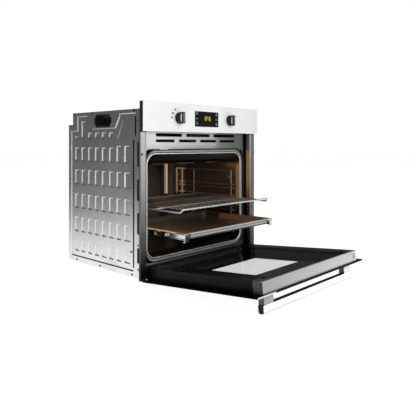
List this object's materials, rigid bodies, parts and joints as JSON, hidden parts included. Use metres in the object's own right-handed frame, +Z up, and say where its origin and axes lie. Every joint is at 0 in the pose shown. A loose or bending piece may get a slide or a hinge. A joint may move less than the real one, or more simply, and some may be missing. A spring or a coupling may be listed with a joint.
{
  "type": "built-in wall oven",
  "caption": "Built-in electric wall oven with a drop-down glass door shown open, control facia with rotary knobs and a display, a wire shelf and a pull-out drip tray.",
  "frame": {"origin": "underside of the base plate, centred left to right, in the plane of the front flange", "axes": "+X to the right seen from the front, +Y into the cabinet, +Z up"},
  "size_m": [0.595, 1.0268, 0.6105],
  "materials": {
    "black_cap": "satin moulded",
    "board": "matt circuit board",
    "bright_wire": "bright plated wire",
    "carrier_plastic": "satin moulded",
    "ceramic": "matt",
    "clear_glass": "clear",
    "column_black": "gloss black moulded",
    "display_glass": "gloss black window",
    "door_trim": "fine lengthways brushing",
    "duct": "galvanised sheet",
    "element": "heat darkened tube",
    "enamel_cavity": "gloss dark brown enamel",
    "enamel_tray": "gloss speckled brown enamel",
    "facia_white": "gloss white front panel",
    "fan_metal": "satin",
    "flange_steel": "fine vertical brushing",
    "galvanised": "matt galvanised sheet",
    "gasket": "matt woven seal",
    "handle_white": "gloss white",
    "hinge_steel": "zinc plated",
    "impeller": "satin moulded",
    "inner_pane": "gloss with printed border and clear window",
    "insulation": "matt mineral wool",
    "knob_dark": "satin with a pale index line",
    "middle_pane": "clear",
    "motor": "satin black",
    "mouth_bright": "bright rolled edge",
    "outer_pane": "gloss black printed",
    "post_grey": "satin light grey",
    "rail_chrome": "bright plated",
    "screw": "plated",
    "shaft_steel": "turned",
    "switch_plastic": "satin moulded",
    "terminal": "satin moulded"
  },
  "bodies": {
    "oven_body": {"base_plate": "galvanised", "body_screws": "screw", "bottom_element": "element", "cavity_liner": "enamel_cavity", "control_board": "board", "control_carrier": "carrier_plastic", "control_facia": "facia_white", "cooling_duct": "duct", "cooling_motor": "motor", "display_window": "display_glass", "door_gasket": "gasket", "facia_end_caps": "black_cap", "fan_baffle": "enamel_cavity", "fan_motor": "motor", "front_frame": "flange_steel", "function_switch": "switch_plastic", "grill_element": "element", "hinge_arms": "hinge_steel", "hinge_receivers": "hinge_steel", "insulation_blanket": "insulation", "lamp_bulb": "clear_glass", "lamp_glass": "clear_glass", "lamp_holder": "ceramic", "mouth_ring": "mouth_bright", "rack_screws": "screw", "rail_fixed_left": "rail_chrome", "rail_fixed_right": "rail_chrome", "rear_fan_cover": "galvanised", "rear_panel": "galvanised", "ring_element": "element", "side_panel_left": "galvanised", "side_panel_right": "galvanised", "side_rack_left": "bright_wire", "side_rack_right": "bright_wire", "temperature_probe": "shaft_steel", "temperature_switch": "switch_plastic", "terminal_block": "terminal", "top_cover": "galvanised"},
    "door": {"outer_glass": "outer_pane", "middle_glass": "middle_pane", "inner_glass": "inner_pane", "door_column_left": "column_black", "door_column_right": "column_black", "door_top_trim": "door_trim", "door_corner_caps": "post_grey", "handle_bar": "handle_white", "handle_posts": "post_grey", "hinge_cassettes": "hinge_steel"},
    "shelf": {"wire_shelf": "bright_wire"},
    "tray": {"drip_tray": "enamel_tray", "rail_slider_left": "rail_chrome", "rail_slider_right": "rail_chrome"},
    "rail_middles": {"rail_middle_left": "rail_chrome", "rail_middle_right": "rail_chrome"},
    "function_control": {"function_knob": "knob_dark", "function_shaft": "shaft_steel"},
    "temperature_control": {"temperature_knob": "knob_dark", "temperature_shaft": "shaft_steel"},
    "oven_fan": {"fan_impeller": "fan_metal"},
    "cooling_fan": {"cooling_impeller": "impeller"}
  },
  "joints": [
    {"name": "door_hinge", "type": "hinge", "parent": "oven_body", "child": "door", "pos_m": [0, -0.00904, 0.00811], "axis": [-1, 0, 0], "range_deg": [0, 85]},
    {"name": "shelf_slide", "type": "slide", "parent": "oven_body", "child": "shelf", "axis": [0, 1, 0], "range_m": [0, 0.1581]},
    {"name": "tray_slide", "type": "slide", "parent": "oven_body", "child": "tray", "axis": [0, 1, 0], "range_m": [0, 0.1841]},
    {"name": "rail_middle_slide", "type": "slide", "parent": "oven_body", "child": "rail_middles", "axis": [0, 1, 0], "range_m": [0, 0.0921]},
    {"name": "function_knob_turn", "type": "hinge", "parent": "oven_body", "child": "function_control", "pos_m": [-0.138, -0.025, 0.5437], "axis": [0, 1, 0], "continuous": true},
    {"name": "temperature_knob_turn", "type": "hinge", "parent": "oven_body", "child": "temperature_control", "pos_m": [0.1265, -0.025, 0.5437], "axis": [0, 1, 0], "range_deg": [0, 270]},
    {"name": "oven_fan_spin", "type": "hinge", "parent": "oven_body", "child": "oven_fan", "pos_m": [0, 0.43, 0.23], "axis": [0, -1, 0], "continuous": true},
    {"name": "cooling_fan_spin", "type": "hinge", "parent": "oven_body", "child": "cooling_fan", "pos_m": [0, 0.271, 0.48], "axis": [1, 0, 0], "continuous": true}
  ],
  "couplings": [
    {"joint": "shelf_slide", "follows": "door_hinge", "m_per_rad": 0.1065},
    {"joint": "tray_slide", "follows": "door_hinge", "m_per_rad": 0.124},
    {"joint": "rail_middle_slide", "follows": "door_hinge", "m_per_rad": 0.062}
  ]
}
